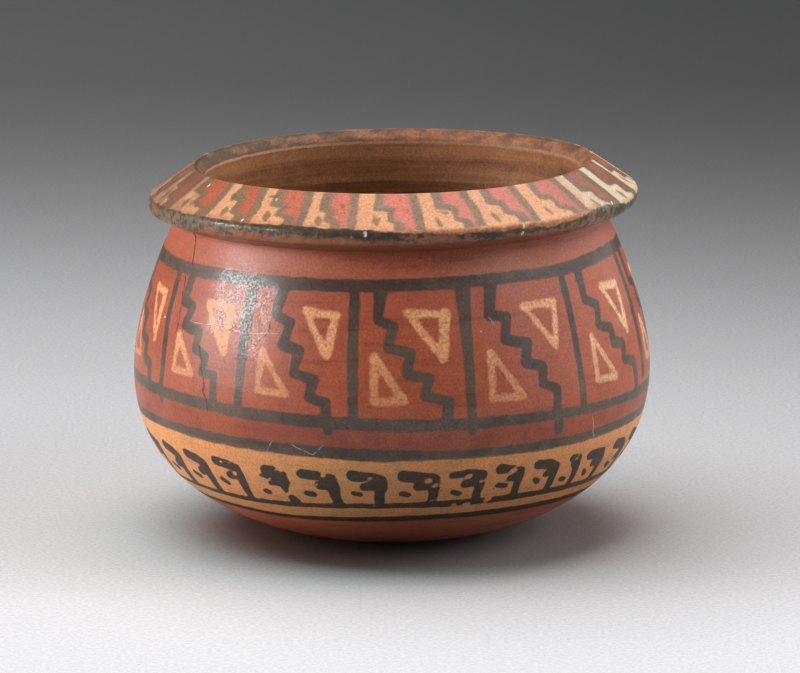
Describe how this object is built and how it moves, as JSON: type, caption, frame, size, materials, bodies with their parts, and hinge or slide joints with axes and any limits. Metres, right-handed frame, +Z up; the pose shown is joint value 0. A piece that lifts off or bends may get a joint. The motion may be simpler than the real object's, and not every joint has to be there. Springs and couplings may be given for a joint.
{
  "type": "miniature painted bowl",
  "caption": "Small round clay bowl with a globular wall, drawn-in neck and bevelled rim band, burnished and painted with bands of steps, triangles and hooks.",
  "frame": {"origin": "centre of the flat foot's underside, which is the bottom centre of the box", "axes": "+Z up along the bowl's turning axis, out of its mouth; +X towards the slightly higher side of the rim; -Y towards the side that the picture shows"},
  "size_m": [0.084, 0.084, 0.061],
  "materials": {
    "slipped_clay": "burnished red slip with dark grey-brown, peach and orange-buff painting, satin, lightly worn",
    "rim_slip": "burnished red slip with peach and grey motifs and a worn black-brown edge, satin"
  },
  "bodies": {
    "root": {"bowl_body": "slipped_clay", "rim_band": "rim_slip"}
  },
  "joints": []
}
